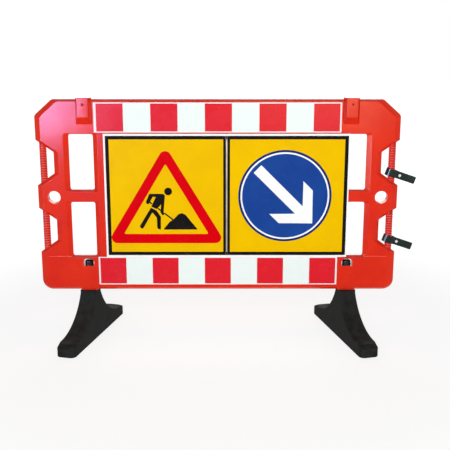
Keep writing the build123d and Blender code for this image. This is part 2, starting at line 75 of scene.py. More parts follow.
def round_edges(skin, edge_radius, spared=()):
    """Rounds a skin's hard edges where both walls have room, apart from those that end at a spared spot."""
    hard_edges = []
    for edge in skin.edges:
        wall = min(face.calc_area() for face in edge.link_faces) / edge.calc_length()
        gaps = [(end.co - spot).length for end in edge.verts for spot in spared]
        is_hard = edge.calc_face_angle(0) > HARD_ANGLE
        has_room = wall > EDGE_ROOM * edge_radius
        if is_hard and has_room and all(gap > SPARED_REACH * edge_radius for gap in gaps):
            hard_edges.append(edge)
    bmesh.ops.bevel(
        skin,
        geom=hard_edges,
        offset=edge_radius,
        offset_type="OFFSET",
        segments=EDGE_STEPS,
        profile=EDGE_PROFILE,
        affect="EDGES",
        clamp_overlap=False,
    )


def folded_spots(skin, sharp_skin):
    """Finds where rounding has turned a face of the skin over, against the sharp skin that it came from."""
    sharp_faces = BVHTree.FromBMesh(sharp_skin)
    spots = []
    for corners in skin.calc_loop_triangles():
        first, second, third = (corner.vert.co for corner in corners)
        middle = (first + second + third) / 3
        facing = (second - first).cross(third - first).normalized()
        if facing.dot(sharp_faces.find_nearest(middle)[1]) < FOLDED_OVER:
            spots.append(middle)
    return spots


def softened_copy(node_name, edge_radius):
    """A joined copy of a CAD node with its hard edges rounded, apart from the few that would fold over."""
    trial = joined_copy(node_name)
    round_edges(trial, edge_radius)
    skin = joined_copy(node_name)
    round_edges(skin, edge_radius, folded_spots(trial, skin))
    trial.free()
    return skin


def add_piece(name, skin, material, body):
    """Makes an object of a finished skin, on the body that carries it."""
    mesh = bpy.data.meshes.new(name)
    skin.to_mesh(mesh)
    skin.free()
    mesh.materials.append(material)
    piece = bpy.data.objects.new(name, mesh)
    bpy.context.collection.objects.link(piece)
    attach(piece, body)
    return piece


def shade_rounded(piece):
    """Keeps the flats flat and lets only the rounded edges catch the light."""
    piece.data.shade_smooth()
    flats = piece.modifiers.new("flats", "WEIGHTED_NORMAL")
    flats.mode = "FACE_AREA"
    flats.weight = 100


def colour(red, green, blue):
    """The shader's linear colour for a screen colour with levels from 0 to 255."""
    shares = [level / 255 for level in (red, green, blue)]
    linear = [s / 12.92 if s <= 0.04045 else ((s + 0.055) / 1.055) ** 2.4 for s in shares]
    return (*linear, 1)


def fill_inputs(tree, node, inputs):
    """Fills the inputs of a shader node with plain values, or links them to other nodes."""
    for key, value in inputs.items():
        if isinstance(value, bpy.types.NodeSocket):
            tree.links.new(value, node.inputs[key])
        else:
            node.inputs[key].default_value = value


def add_node(tree, kind, inputs=None, **settings):
    """Adds a shader node with its settings and its inputs."""
    node = tree.nodes.new(kind)
    for setting, value in settings.items():
        setattr(node, setting, value)
    fill_inputs(tree, node, inputs or {})
    return node


def math_node(tree, operation, first, second):
    """One sum of two numbers in a shader."""
    return add_node(tree, "ShaderNodeMath", {0: first, 1: second}, operation=operation).outputs[0]


def ramp(tree, value, low, high, start=0.0, end=1.0):
    """Stretches value from low..high to start..end, and holds it there."""
    limits = {"Value": value, "From Min": low, "From Max": high, "To Min": start, "To Max": end}
    return add_node(tree, "ShaderNodeMapRange", limits, interpolation_type="SMOOTHSTEP").outputs[0]


def between(tree, share, ends):
    """A number that goes from the first to the second of two ends as a share goes from 0 to 1."""
    return ramp(tree, share, 0.0, 1.0, *ends)


def mix_colour(tree, share, first, second):
    """Blends two colours by a share from 0 to 1, at the Mix node's places for colours."""
    blend = {0: share, MIX_FIRST: first, MIX_SECOND: second}
    return add_node(tree, "ShaderNodeMix", blend, data_type="RGBA").outputs[MIX_RESULT]


def place_on_piece(tree):
    """Where on its piece a point of the surface lies, in metres."""
    return tree.nodes.new("ShaderNodeTexCoord").outputs["Object"]


def noise(tree, place, scale, detail):
    """A cloudy value over the surface, mostly near a half."""
    cloud = {"Vector": place, "Scale": scale, "Detail": detail}
    return add_node(tree, "ShaderNodeTexNoise", cloud).outputs["Fac"]


def bump(tree, height, strength, depth):
    """A bump node that raises and sinks the surface by a height."""
    return add_node(tree, "ShaderNodeBump", {"Strength": strength, "Distance": depth, "Height": height})


def new_effect(name, amounts, results):
    """Starts a shader node group with named numbers going in and named values coming out."""
    group = bpy.data.node_groups.new(name, "ShaderNodeTree")
    for amount, usual in amounts.items():
        socket = group.interface.new_socket(amount, in_out="INPUT", socket_type="NodeSocketFloat")
        socket.default_value = usual
    for result in results:
        group.interface.new_socket(result, in_out="OUTPUT", socket_type="NodeSocketFloat")
    given = group.nodes.new("NodeGroupInput").outputs
    wanted = group.nodes.new("NodeGroupOutput").inputs
    return group, given, wanted


def add_effect(tree, group, **amounts):
    """Places a shared effect in a material with this material's amounts."""
    node = add_node(tree, "ShaderNodeGroup", node_tree=group)
    for amount, value in amounts.items():
        node.inputs[amount.replace("_", " ")].default_value = value
    return node.outputs


def new_material(name):
    """Starts a material and gives its node tree and its Principled shader."""
    material = bpy.data.materials.new(name)
    material.use_nodes = True
    tree = material.node_tree
    return material, tree, tree.nodes["Principled BSDF"]


PATCH_RANGE = (0.32, 0.68)

moulded_skin, given, wanted = new_effect(
    "moulded_skin", {"Grain Size": 0.001, "Patch Size": 0.1}, ["Grain", "Patches"]
)
here = place_on_piece(moulded_skin)
grain_scale = math_node(moulded_skin, "DIVIDE", 1.0, given["Grain Size"])
patch_scale = math_node(moulded_skin, "DIVIDE", 1.0, given["Patch Size"])
grain = noise(moulded_skin, here, grain_scale, detail=2.0)
patches = noise(moulded_skin, here, patch_scale, detail=4.0)
moulded_skin.links.new(grain, wanted["Grain"])
moulded_skin.links.new(ramp(moulded_skin, patches, *PATCH_RANGE), wanted["Patches"])

SCUFF_DRAGS = ((0.25, (28, 260, 420)), (-0.9, (22, 300, 300)))
SCUFF_RANGE = (0.64, 0.74)
KNOCK_SCALE = 7.0
KNOCK_RANGE = (0.46, 0.66)

handling_scuffs, given, wanted = new_effect("handling_scuffs", {"Amount": 0.5}, ["Scuffs"])
here = place_on_piece(handling_scuffs)
scuffs = 0.0
for lean, stretch in SCUFF_DRAGS:
    drag = {"Vector": here, "Rotation": (0, lean, 0), "Scale": stretch}
    dragged = add_node(handling_scuffs, "ShaderNodeMapping", drag).outputs[0]
    streaks = ramp(handling_scuffs, noise(handling_scuffs, dragged, scale=1.0, detail=2.0), *SCUFF_RANGE)
    scuffs = math_node(handling_scuffs, "MAXIMUM", scuffs, streaks)
knocked = ramp(handling_scuffs, noise(handling_scuffs, here, KNOCK_SCALE, detail=3.0), *KNOCK_RANGE)
scuffs = math_node(handling_scuffs, "MULTIPLY", scuffs, knocked)
scuffs = math_node(handling_scuffs, "MULTIPLY", scuffs, given["Amount"])
handling_scuffs.links.new(scuffs, wanted["Scuffs"])

EDGE_LIKENESS = (0.97, 0.80)
RUB_SCALE = 45.0
RUB_RANGE = (0.38, 0.66)

edge_wear, given, wanted = new_effect("edge_wear", {"Reach": 0.004, "Amount": 0.5}, ["Worn"])
here = place_on_piece(edge_wear)
rounded = add_node(edge_wear, "ShaderNodeBevel", {"Radius": given["Reach"]}, samples=4).outputs[0]
true_normal = edge_wear.nodes.new("ShaderNodeNewGeometry").outputs["True Normal"]
alike = add_node(edge_wear, "ShaderNodeVectorMath", {0: rounded, 1: true_normal}, operation="DOT_PRODUCT")
near_edge = ramp(edge_wear, alike.outputs["Value"], *EDGE_LIKENESS)
rubbed = ramp(edge_wear, noise(edge_wear, here, RUB_SCALE, detail=4.0), *RUB_RANGE)
worn = math_node(edge_wear, "MULTIPLY", near_edge, rubbed)
worn = math_node(edge_wear, "MULTIPLY", worn, given["Amount"])
edge_wear.links.new(worn, wanted["Worn"])

LYING_RANGE = (0.25, 0.95)
DRIFT_SCALE = 24.0
DRIFT_RANGE = (0.3, 0.7)

settled_dust, given, wanted = new_effect("settled_dust", {"Amount": 0.3}, ["Dust"])
here = place_on_piece(settled_dust)
facing = settled_dust.nodes.new("ShaderNodeNewGeometry").outputs["Normal"]
upward = add_node(settled_dust, "ShaderNodeSeparateXYZ", {0: facing}).outputs["Z"]
lying = ramp(settled_dust, upward, *LYING_RANGE)
drifts = ramp(settled_dust, noise(settled_dust, here, DRIFT_SCALE, detail=5.0), *DRIFT_RANGE)
dust = math_node(settled_dust, "MULTIPLY", lying, drifts)
dust = math_node(settled_dust, "MULTIPLY", dust, given["Amount"])
settled_dust.links.new(dust, wanted["Dust"])

ORANGE = colour(228, 44, 14)
ORANGE_DEEP = colour(220, 34, 8)
ORANGE_RUBBED_AND_EDGE_HIGHLIGHT = colour(242, 110, 84)
ROAD_DUST = colour(176, 164, 150)
SATIN_ROUGHNESS = (0.15, 0.21)
RUBBED_ROUGHER = 0.2
ORANGE_GLOSS = 0.13

orange_polyethylene, tree, surface = new_material("orange_polyethylene")
skin_look = add_effect(tree, moulded_skin, Grain_Size=0.0011, Patch_Size=0.16)
scuff_look = add_effect(tree, handling_scuffs, Amount=0.35)
# The edge mask pales the rounded edges, partly as rubbed wear and partly as a painted highlight along them.
edge_look = add_effect(tree, edge_wear, Reach=0.005, Amount=0.55)
dust_look = add_effect(tree, settled_dust, Amount=0.12)
dyed = mix_colour(tree, skin_look["Patches"], ORANGE, ORANGE_DEEP)
scuff_and_edge_share = math_node(tree, "MAXIMUM", scuff_look["Scuffs"], edge_look["Worn"])
scuff_and_edge_colour = mix_colour(tree, scuff_and_edge_share, dyed, ORANGE_RUBBED_AND_EDGE_HIGHLIGHT)
satin = between(tree, skin_look["Patches"], SATIN_ROUGHNESS)
rougher = math_node(tree, "MULTIPLY", scuff_and_edge_share, RUBBED_ROUGHER)
soft_edges = add_node(tree, "ShaderNodeBevel", {"Radius": MOULD_ROUNDING}, samples=6).outputs[0]
grain_bump = bump(tree, skin_look["Grain"], strength=0.12, depth=0.0004)
fill_inputs(tree, grain_bump, {"Normal": soft_edges})
looks = {
    "Base Color": mix_colour(tree, dust_look["Dust"], scuff_and_edge_colour, ROAD_DUST),
    "Roughness": math_node(tree, "ADD", satin, rougher),
    "Specular IOR Level": ORANGE_GLOSS,
    "Normal": grain_bump.outputs[0],
}
fill_inputs(tree, surface, looks)

frame_skin = add_piece(
    "frame_skin",
    softened_copy("frame_moulding", FRAME_EDGE_RADIUS),
    orange_polyethylene,
    "panel",
)
shade_rounded(frame_skin)
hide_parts("frame_moulding")

# Step beads
# A fine bead is moulded across each end panel, level with the top of the lower rail.
# It stands proud of the skin, and its whole skin is coloured pale as a painted highlight along the step.
BEAD_INSET = 0.042
BEAD_LENGTH = 0.118
BEAD_LIFT = 0.179
BEAD_HALF_HEIGHT = 0.0018
BEAD_ROOT = 0.0006
BEAD_PROUD = 0.0012
BEAD_HIGHLIGHT = colour(250, 128, 104)
BEAD_HIGHLIGHT_PATCH = colour(244, 104, 80)
BEAD_ROUGHNESS = (0.40, 0.55)
BEAD_GLOSS = 0.2


def join_sections(skin, sections):
    """Joins closed sections of a skin, each to the next, and closes both ends."""
    for near, far in zip(sections, sections[1:]):
        for corner in range(len(near)):
            following = (corner + 1) % len(near)
            skin.faces.new((near[corner], near[following], far[following], far[corner]))
    skin.faces.new(sections[0][::-1])
    skin.faces.new(sections[-1])


# The bead's pale colour is a painted highlight, the light line that the step catches.
bead_highlight_polyethylene, tree, surface = new_material("bead_highlight_polyethylene")
skin_look = add_effect(tree, moulded_skin, Grain_Size=0.0012, Patch_Size=0.02)
looks = {
    "Base Color": mix_colour(tree, skin_look["Patches"], BEAD_HIGHLIGHT, BEAD_HIGHLIGHT_PATCH),
    "Roughness": between(tree, skin_look["Patches"], BEAD_ROUGHNESS),
    "Specular IOR Level": BEAD_GLOSS,
}
fill_inputs(tree, surface, looks)

low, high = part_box("frame_moulding")
crest = low.z + BEAD_LIFT
bead_corners = (
    (low.y + BEAD_ROOT, crest - BEAD_HALF_HEIGHT),
    (low.y - BEAD_PROUD, crest),
    (low.y + BEAD_ROOT, crest + BEAD_HALF_HEIGHT),
)
for side, start in (("left", low.x + BEAD_INSET), ("right", high.x - BEAD_INSET - BEAD_LENGTH)):
    bead = bmesh.new()
    ends = [[bead.verts.new((x, y, z)) for y, z in bead_corners] for x in (start, start + BEAD_LENGTH)]
    join_sections(bead, ends)
    bmesh.ops.recalc_face_normals(bead, faces=bead.faces[:])
    add_piece(f"{side}_step_bead", bead, bead_highlight_polyethylene, "panel")

# Grip bars
# Four ribbed round bars of the same polyethylene cross the open ends, where a gloved hand lifts the panel.
# Their plain ends are pushed into sockets in the lobes, and close round ribs cover the length between.
BAR_PLAIN_END = 0.032
BAR_END_RADIUS = 0.017
BAR_CORE_RADIUS = 0.0166
BAR_RIB_RADIUS = 0.0186
RIB_PITCH = 0.0125
RIB_SHARE = 0.6
RIB_STEPS = 6
RIB_START_GAP = RIB_PITCH / 4
BAR_SECTIONS = 40
RIB_CREST_HIGHLIGHT = colour(244, 92, 80)
RIB_GROOVE_SHADE = colour(192, 22, 14)
RIB_TINT_RANGE = (0.2, 1.0)
BAR_PATCH_SHARE = 0.4
BAR_ROUGHNESS = (0.42, 0.26)


def add_turning(skin, rings, sections, place):
    """Adds a closed turning to a skin from rings of (radius, height); a radius may change round its ring."""
    turns = [2 * math.pi * step / sections for step in range(sections)]
    loops = []
    for radius, height in rings:
        loop = []
        for turn in turns:
            reach = radius(turn) if callable(radius) else radius
            point = Vector((reach * math.cos(turn), reach * math.sin(turn), height))
            loop.append(skin.verts.new(place @ point))
        loops.append(loop)
    join_sections(skin, loops)


grip_polyethylene, tree, surface = new_material("grip_polyethylene")
skin_look = add_effect(tree, moulded_skin, Grain_Size=0.0011, Patch_Size=0.04)
scuff_look = add_effect(tree, handling_scuffs, Amount=0.4)
# The rib crests are coloured with a painted highlight and the grooves with painted shade, by each point's
# height on its rib.
rib_height = add_node(tree, "ShaderNodeAttribute", attribute_name="rib_height").outputs["Fac"]
rib_highlight_and_shade = mix_colour(tree, ramp(tree, rib_height, *RIB_TINT_RANGE), RIB_GROOVE_SHADE, RIB_CREST_HIGHLIGHT)
patch_share = math_node(tree, "MULTIPLY", skin_look["Patches"], BAR_PATCH_SHARE)
dyed = mix_colour(tree, patch_share, rib_highlight_and_shade, ORANGE)
looks = {
    "Base Color": mix_colour(tree, scuff_look["Scuffs"], dyed, ORANGE_RUBBED_AND_EDGE_HIGHLIGHT),
    "Roughness": between(tree, rib_height, BAR_ROUGHNESS),
    "Specular IOR Level": ORANGE_GLOSS,
}
fill_inputs(tree, surface, looks)

for height in ("lower", "upper"):
    for side in ("left", "right"):
        low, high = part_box(f"grip_bar_{height}_{side}")
        length = high.z - low.z
        ribs = int((length - 2 * BAR_PLAIN_END) / RIB_PITCH)
        first = (length - ribs * RIB_PITCH) / 2
        rings = [(BAR_END_RADIUS, 0.0), (BAR_END_RADIUS, first - RIB_START_GAP)]
        for rib in range(ribs):
            for step in range(RIB_STEPS + 1):
                swell = math.sin(math.pi * step / RIB_STEPS)
                along = first + (rib + RIB_SHARE * step / RIB_STEPS) * RIB_PITCH
                rings.append((BAR_CORE_RADIUS + (BAR_RIB_RADIUS - BAR_CORE_RADIUS) * swell, along))
        rings += [(BAR_END_RADIUS, length - first), (BAR_END_RADIUS, length)]
        axis = Vector(((low.x + high.x) / 2, (low.y + high.y) / 2))
        skin = bmesh.new()
        add_turning(skin, rings, BAR_SECTIONS, Matrix.Translation((*axis, low.z)))
        bar = add_piece(f"{height}_{side}_bar_skin", skin, grip_polyethylene, "panel")
        rib_heights = bar.data.attributes.new("rib_height", "FLOAT", "POINT").data
        for vert, mark in zip(bar.data.vertices, rib_heights):
            rise = (vert.co.xy - axis).length - BAR_CORE_RADIUS
            mark.value = rise / (BAR_RIB_RADIUS - BAR_CORE_RADIUS)
        shade_rounded(bar)
        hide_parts(f"grip_bar_{height}_{side}")

# Reflective boards
# Two flat plastic boards carry red and white prismatic sheeting and are pressed into recesses in the rails.
# The sheeting is cut into nine blocks, with a plain white border left round them.
BOARD_BORDER = 0.005
BOARD_END_BORDER = 0.0078
BOARD_BLOCKS = 9
BOARD_SET_OVER = {"top": 0.0045, "bottom": 0.0}
BLOCK_GAP = 0.0006
BOARD_FILM = 0.0002
CELL_TURN = math.pi / 4
RIPPLE_SCALE = 14.0
RIPPLE_RANGE = (0.3, 0.7)
SHEETING_CELL_SHARE = 0.5
SHEETING_ROUGHNESS = (0.22, 0.32)
SHEETING_GLOSS = 0.08


def cut_film(outlines, back_y, thickness):
    """Cuts a film that faces the road from outlines of (x, z); an outline inside another is a hole."""
    film = bmesh.new()
    for outline in outlines:
        corners = [film.verts.new((x, back_y, z)) for x, z in outline]
        for start, end in zip(corners, corners[1:] + corners[:1]):
            film.edges.new((start, end))
    bmesh.ops.triangle_fill(film, use_beauty=True, use_dissolve=False, edges=film.edges[:])
    front = bmesh.ops.extrude_face_region(film, geom=film.faces[:], use_keep_orig=True)["geom"]
    front_corners = [item for item in front if isinstance(item, bmesh.types.BMVert)]
    bmesh.ops.translate(film, verts=front_corners, vec=(0, -thickness, 0))
    bmesh.ops.recalc_face_normals(film, faces=film.faces[:])
    return film


def rectangle(left, right, bottom, top):
    """The four corners of a rectangle."""
    return [(left, bottom), (right, bottom), (right, top), (left, top)]


sheeting_cells, given, wanted = new_effect("sheeting_cells", {"Cell Size": 0.004}, ["Lines", "Ripple"])
here = place_on_piece(sheeting_cells)
across = add_node(sheeting_cells, "ShaderNodeSeparateXYZ", {0: here}).outputs
on_face = add_node(sheeting_cells, "ShaderNodeCombineXYZ", {"X": across["X"], "Y": across["Z"]}).outputs[0]
slant = {"Vector": on_face, "Rotation": (0, 0, CELL_TURN)}
cell_grid = {
    "Vector": add_node(sheeting_cells, "ShaderNodeMapping", slant).outputs[0],
    "Scale": math_node(sheeting_cells, "DIVIDE", 1.0, given["Cell Size"]),
    "Mortar Size": 0.07,
    "Mortar Smooth": 0.4,
    "Brick Width": 1.0,
    "Row Height": 1.0,
}
cells = add_node(sheeting_cells, "ShaderNodeTexBrick", cell_grid, offset=0.0)
ripple = noise(sheeting_cells, here, RIPPLE_SCALE, detail=2.0)
sheeting_cells.links.new(cells.outputs["Fac"], wanted["Lines"])
sheeting_cells.links.new(ripple, wanted["Ripple"])


def sheeting(name, plain, cell_line):
    """Prismatic sheeting in one colour, with sealed cells, a slight ripple and a few handling scuffs."""
    material, tree, surface = new_material(name)
    cell_look = add_effect(tree, sheeting_cells, Cell_Size=0.0035)
    scuff_look = add_effect(tree, handling_scuffs, Amount=0.10)
    cell_share = math_node(tree, "MULTIPLY", cell_look["Lines"], SHEETING_CELL_SHARE)
    shaded = mix_colour(tree, cell_share, plain, cell_line)
    looks = {
        "Base Color": mix_colour(tree, scuff_look["Scuffs"], shaded, ROAD_DUST),
        "Roughness": ramp(tree, cell_look["Ripple"], *RIPPLE_RANGE, *SHEETING_ROUGHNESS),
        "Specular IOR Level": SHEETING_GLOSS,
        "Normal": bump(tree, cell_look["Ripple"], strength=0.15, depth=0.003).outputs[0],
    }
    fill_inputs(tree, surface, looks)
    return material


white_sheeting = sheeting("white_sheeting", plain=colour(240, 250, 247), cell_line=colour(226, 238, 236))
red_sheeting = sheeting("red_sheeting", plain=colour(226, 30, 44), cell_line=colour(204, 18, 34))
border_white = sheeting("border_white", plain=colour(248, 243, 244), cell_line=colour(242, 237, 238))

for place in ("top", "bottom"):
    board_name = f"{place}_reflective_board"
    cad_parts[board_name].data.materials[0] = border_white
    low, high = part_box(board_name)
    block_width = (high.x - low.x - 2 * BOARD_END_BORDER) / BOARD_BLOCKS
    for block in range(BOARD_BLOCKS):
        left = low.x + BOARD_END_BORDER + BOARD_SET_OVER[place] + block * block_width
        right = min(left + block_width - BLOCK_GAP, high.x - BOARD_END_BORDER)
        cut = rectangle(left, right, low.z + BOARD_BORDER, high.z - BOARD_BORDER)
        shade = "red" if block % 2 == 0 else "white"
        add_piece(
            f"{place}_board_{shade}_block_{block + 1}",
            cut_film([cut], low.y, BOARD_FILM),
            red_sheeting if shade == "red" else white_sheeting,
            "panel",
        )

# Sign plates
# Two square aluminium plates stand in front of the lattice on studs that pass through it to nuts at the back.
# White sheeting covers each face, and the yellow field, its black border and the sign are cut films on it.
FILM = 0.00015
TOP_MARGIN = 0.010
BOTTOM_MARGIN = 0.0098
OUTSIDE_MARGINS = {"left": 0.0095, "right": 0.0065}
JOINT_MARGIN = 0.002
BORDER_LINE = 0.0175
JOINT_LINE = 0.0138
ARC_STEPS = 12
CIRCLE_STEPS = 128
MILLIMETRE = 0.001
FILM_CELL_SHARE = 0.25
FILM_ROUGHNESS = (0.30, 0.40)
FILM_GLOSS = 0.012
ALUMINIUM_PALE = colour(198, 200, 203)
ALUMINIUM_DULL = colour(184, 186, 190)
ALUMINIUM_SCRATCH = colour(222, 224, 226)
ALUMINIUM_ROUGHNESS = (0.34, 0.48)


def drawn_from(centre, x, z):
    """A point on a sign plate, from its place in a drawing in millimetres about a centre."""
    return (centre[0] + x * MILLIMETRE, centre[1] + z * MILLIMETRE)


def rounded_outline(corners, centre):
    """The outline through a drawing's corners of (x, z, radius), each an arc unless its radius is 0."""
    outline = []
    for index, (x, z, radius) in enumerate(corners):
        corner = Vector((x, z))
        if radius == 0:
            outline.append(corner)
            continue
        back = (Vector(corners[index - 1][:2]) - corner).normalized()
        ahead = (Vector(corners[(index + 1) % len(corners)][:2]) - corner).normalized()
        half_angle = back.angle(ahead) / 2
        middle = corner + (back + ahead).normalized() * radius / math.sin(half_angle)
        first_arm = corner + back * radius / math.tan(half_angle) - middle
        last_arm = corner + ahead * radius / math.tan(half_angle) - middle
        for step in range(ARC_STEPS + 1):
            arm = first_arm.normalized().slerp(last_arm.normalized(), step / ARC_STEPS)
            outline.append(middle + arm * radius)
    return [drawn_from(centre, *point) for point in outline]


def circle(radius, centre):
    """A round outline in a drawing."""
    turns = [2 * math.pi * step / CIRCLE_STEPS for step in range(CIRCLE_STEPS)]
    return [drawn_from(centre, radius * math.cos(turn), radius * math.sin(turn)) for turn in turns]


def printed_film(name, plain, patch):
    """Sign film in one colour, printed on fine-celled sheeting under a clear satin skin."""
    material, tree, surface = new_material(name)
    cell_look = add_effect(tree, sheeting_cells, Cell_Size=0.0022)
    skin_look = add_effect(tree, moulded_skin, Grain_Size=0.0016, Patch_Size=0.12)
    scuff_look = add_effect(tree, handling_scuffs, Amount=0.12)
    printed = mix_colour(tree, skin_look["Patches"], plain, patch)
    cell_share = math_node(tree, "MULTIPLY", cell_look["Lines"], FILM_CELL_SHARE)
    celled = mix_colour(tree, cell_share, printed, patch)
    looks = {
        "Base Color": mix_colour(tree, scuff_look["Scuffs"], celled, ROAD_DUST),
        "Roughness": between(tree, skin_look["Patches"], FILM_ROUGHNESS),
        "Specular IOR Level": FILM_GLOSS,
        "Normal": bump(tree, skin_look["Grain"], strength=0.08, depth=0.0003).outputs[0],
    }
    fill_inputs(tree, surface, looks)
    return material


yellow_film = printed_film("yellow_film", plain=colour(245, 196, 0), patch=colour(240, 190, 0))
black_film = printed_film("black_film", plain=colour(20, 17, 18), patch=colour(26, 23, 24))
red_film = printed_film("red_film", plain=colour(224, 2, 16), patch=colour(216, 0, 12))
blue_film = printed_film("blue_film", plain=colour(30, 72, 153), patch=colour(27, 66, 147))
blue_rim_film = printed_film("blue_rim_film", plain=colour(22, 46, 116), patch=colour(20, 42, 108))
white_film = printed_film("white_film", plain=colour(252, 253, 254), patch=colour(249, 250, 251))

bare_aluminium, tree, surface = new_material("bare_aluminium")
skin_look = add_effect(tree, moulded_skin, Grain_Size=0.0007, Patch_Size=0.09)
scuff_look = add_effect(tree, handling_scuffs, Amount=0.5)
rolled = mix_colour(tree, skin_look["Patches"], ALUMINIUM_PALE, ALUMINIUM_DULL)
looks = {
    "Base Color": mix_colour(tree, scuff_look["Scuffs"], rolled, ALUMINIUM_SCRATCH),
    "Roughness": between(tree, skin_look["Patches"], ALUMINIUM_ROUGHNESS),
    "Metallic": 1.0,
    "Normal": bump(tree, skin_look["Grain"], strength=0.1, depth=0.0002).outputs[0],
}
fill_inputs(tree, surface, looks)


def add_film(side, level, name, outlines, material):
    """Lays one cut film on a sign plate, at its level in the stack."""
    back_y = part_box(f"{side}_sign_plate")[0].y - level * FILM
    film = cut_film(outlines, back_y, FILM)
    add_piece(f"{side}_sign_{name}", film, material, "panel")


sign_centres = {}
for side in ("left", "right"):
    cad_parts[f"{side}_sign_plate"].data.materials[0] = bare_aluminium
    low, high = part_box(f"{side}_sign_plate")
    sign_centres[side] = ((low.x + high.x) / 2, (low.z + high.z) / 2)
    margins = [OUTSIDE_MARGINS[side], JOINT_MARGIN]
    lines = [BORDER_LINE, JOINT_LINE]
    if side == "right":
        margins.reverse()
        lines.reverse()
    left, right = low.x + margins[0], high.x - margins[1]
    bottom, top = low.z + BOTTOM_MARGIN, high.z - TOP_MARGIN
    black_edge = rectangle(left, right, bottom, top)
    yellow_edge = rectangle(left + lines[0], right - lines[1], bottom + BORDER_LINE, top - BORDER_LINE)
    add_film(side, 0, "white_sheet", [rectangle(low.x, high.x, low.z, high.z)], white_film)
    add_film(side, 1, "black_border", [black_edge, yellow_edge], black_film)
    add_film(side, 1, "yellow_field", [yellow_edge], yellow_film)

# Triangle sign
# The left face warns of road works: a red triangle with rounded tips and a black figure digging at a heap.
# Its films are cut separately and laid on the yellow field. The drawing is in millimetres.
DRAWING_PLACE = (-4.25, 1.5)
TRIANGLE_MIDDLE = 5
TRIANGLE_BASE = -242
TRIANGLE_WIDTH = 597
TRIANGLE_HEIGHT = 496
TRIANGLE_TIP_RADIUS = 30
OPENING_BASE = -194
OPENING_WIDTH = 425
OPENING_HEIGHT = 357
OPENING_TIP_RADIUS = 5
WORKER_HEAD_PLACE = (17, 24)
WORKER_HEAD_RADIUS = 19.3
WORKER_BODY = [
    (-95, -30, 5), (-77, 12, 9), (2, 12, 13), (-7, -78, 4), (-4, -95, 4), (-13, -98, 4), (-23, -82, 4),
    (-19, -41, 1), (-40, -66, 2), (-68, -53, 2), (-45, -4, 1), (-60, -3, 2), (-80, -39, 4), (-89, -41, 4),
]
WORKER_LEGS = [
    (-70, -58, 2), (-129, -156, 8), (-114, -171, 8), (-63, -82, 3), (-42, -110, 5), (-40, -166, 8),
    (-22, -172, 4), (-21, -104, 12), (-42, -74, 10),
]
HEAP = [
    (-10, -171, 3), (163, -171, 3), (102, -94, 12), (84, -86, 10), (67, -92, 6), (42, -118, 3), (22, -132, 4),
]
HANDLE_START = Vector((-77, -29))
HANDLE_END = Vector((39, -120))
HANDLE_HALF_WIDTH = 3.6
HANDLE_STRETCHES = ((0.0, 0.11), (0.37, 0.48), (0.63, 1.0))


def tipped_triangle(base, width, height, radius):
    """An upright triangle with rounded tips, about the sign's middle line."""
    left = (TRIANGLE_MIDDLE - width / 2, base, radius)
    right = (TRIANGLE_MIDDLE + width / 2, base, radius)
    return [left, right, (TRIANGLE_MIDDLE, base + height, radius)]


middle = drawn_from(sign_centres["left"], *DRAWING_PLACE)
outer = tipped_triangle(TRIANGLE_BASE, TRIANGLE_WIDTH, TRIANGLE_HEIGHT, TRIANGLE_TIP_RADIUS)
opening = tipped_triangle(OPENING_BASE, OPENING_WIDTH, OPENING_HEIGHT, OPENING_TIP_RADIUS)
triangle_edges = [rounded_outline(outer, middle), rounded_outline(opening, middle)]
add_film("left", 2, "red_triangle", triangle_edges, red_film)
add_film("left", 2, "worker_body", [rounded_outline(WORKER_BODY, middle)], black_film)
add_film("left", 2, "worker_legs", [rounded_outline(WORKER_LEGS, middle)], black_film)
add_film("left", 2, "heap", [rounded_outline(HEAP, middle)], black_film)
head_middle = drawn_from(middle, *WORKER_HEAD_PLACE)
add_film("left", 2, "worker_head", [circle(WORKER_HEAD_RADIUS, head_middle)], black_film)
handle = HANDLE_END - HANDLE_START
beside = Vector((-handle.y, handle.x)).normalized() * HANDLE_HALF_WIDTH
for number, (start, end) in enumerate(HANDLE_STRETCHES, 1):
    near = HANDLE_START + handle * start
    far = HANDLE_START + handle * end
    stretch = [(*corner, 0) for corner in (near - beside, far - beside, far + beside, near + beside)]
    add_film("left", 2, f"shovel_handle_{number}", [rounded_outline(stretch, middle)], black_film)

# Round sign
# The right face sends traffic past on the right: a blue disc with a white ring and a white arrow.
# The arrow is drawn in millimetres along its own axis, which points down to the right.
DISC_PLACE = (-13.25, 1.5)
DISC_RADIUS = 232
RING_OUTER = 220.5
RING_INNER = 212.5
ARROW_TAIL = -194
ARROW_NECK = 100
ARROW_HALF_SHAFT = 26.5
ARROW_BARB_BACK = 10
ARROW_BARB_FRONT = 77
ARROW_HALF_SPAN = 118
ARROW_TIP = 197
ARROW_LEAN = -math.pi / 4

middle = drawn_from(sign_centres["right"], *DISC_PLACE)
half_arrow = [
    (ARROW_TAIL, ARROW_HALF_SHAFT),
    (ARROW_NECK, ARROW_HALF_SHAFT),
    (ARROW_BARB_BACK, ARROW_HALF_SPAN),
    (ARROW_BARB_FRONT, ARROW_HALF_SPAN),
    (ARROW_TIP, 0),
]
arrow = half_arrow + [(along, -aside) for along, aside in reversed(half_arrow[:-1])]
turn = Matrix.Rotation(ARROW_LEAN, 2)
arrow_corners = [(*(turn @ Vector(point)), 0) for point in arrow]
add_film("right", 2, "blue_rim", [circle(DISC_RADIUS, middle), circle(RING_OUTER, middle)], blue_rim_film)
add_film("right", 2, "white_ring", [circle(RING_OUTER, middle), circle(RING_INNER, middle)], white_film)
add_film("right", 2, "blue_disc", [circle(RING_INNER, middle)], blue_film)
add_film("right", 3, "white_arrow", [rounded_outline(arrow_corners, middle)], white_film)

